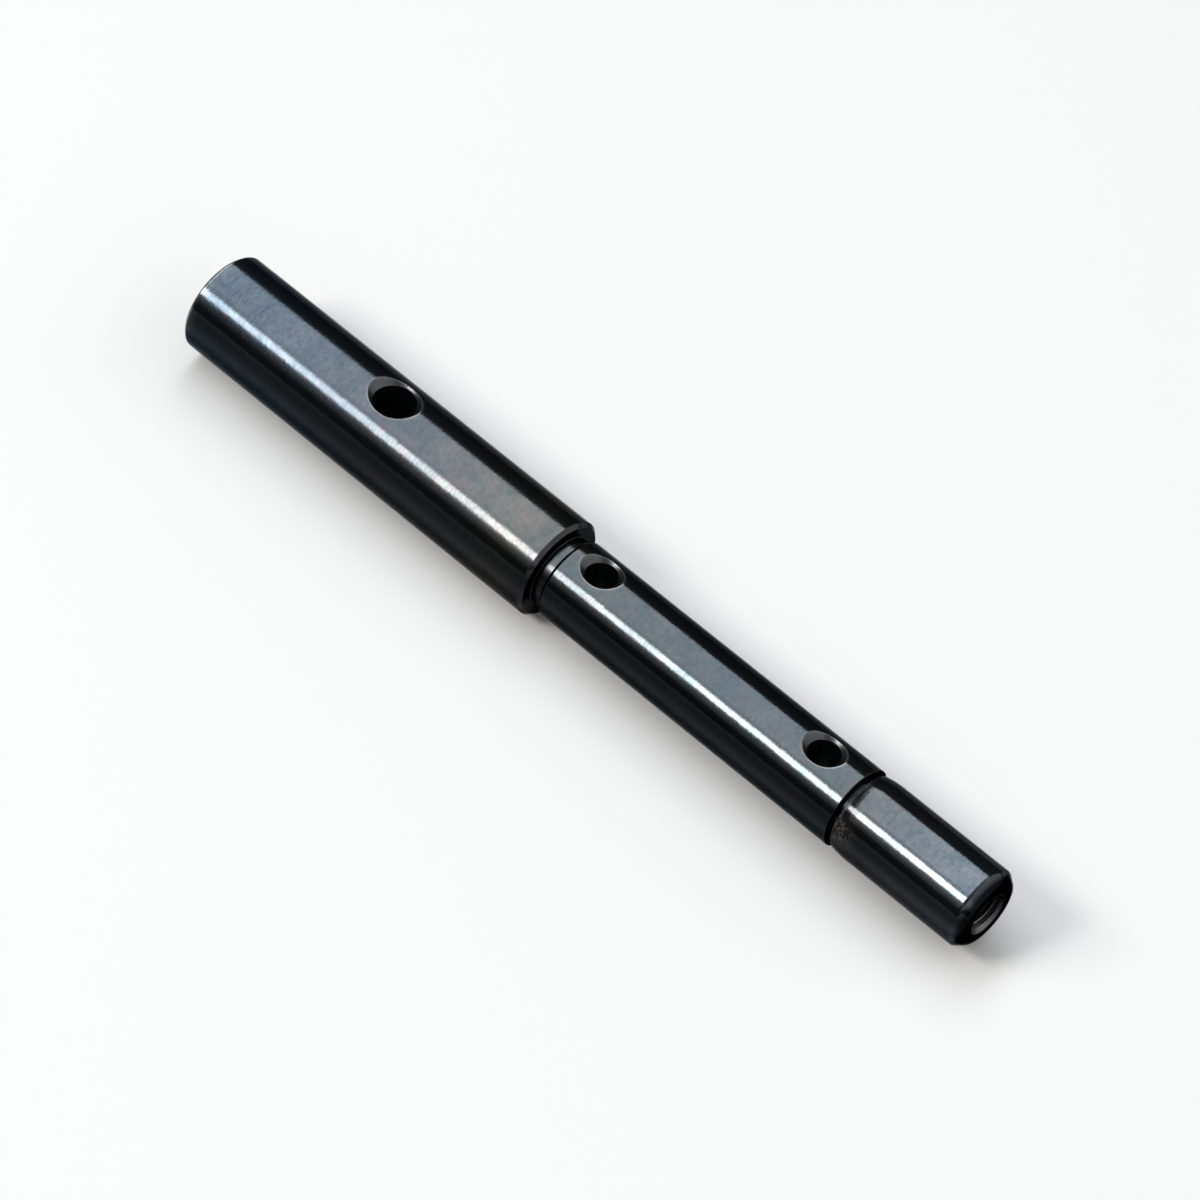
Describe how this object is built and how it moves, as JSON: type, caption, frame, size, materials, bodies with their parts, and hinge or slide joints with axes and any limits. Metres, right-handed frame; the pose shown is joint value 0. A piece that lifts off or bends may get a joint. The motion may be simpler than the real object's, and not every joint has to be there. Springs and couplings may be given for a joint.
{
  "type": "stepped shaft",
  "caption": "Blackened steel stepped shaft with a relieved shoulder, a narrow groove, countersunk cross-holes and a tapped end.",
  "frame": {"origin": "centre of the plain end face, on the turning axis", "axes": "+X along the turning axis towards the tapped end, +Z along the cross-holes; the shaft lies on its side"},
  "size_m": [0.0932, 0.01, 0.01],
  "materials": {
    "blackened_steel": "ground and blackened, lightly oiled"
  },
  "bodies": {
    "root": {"stepped_shaft": "blackened_steel"}
  },
  "joints": []
}
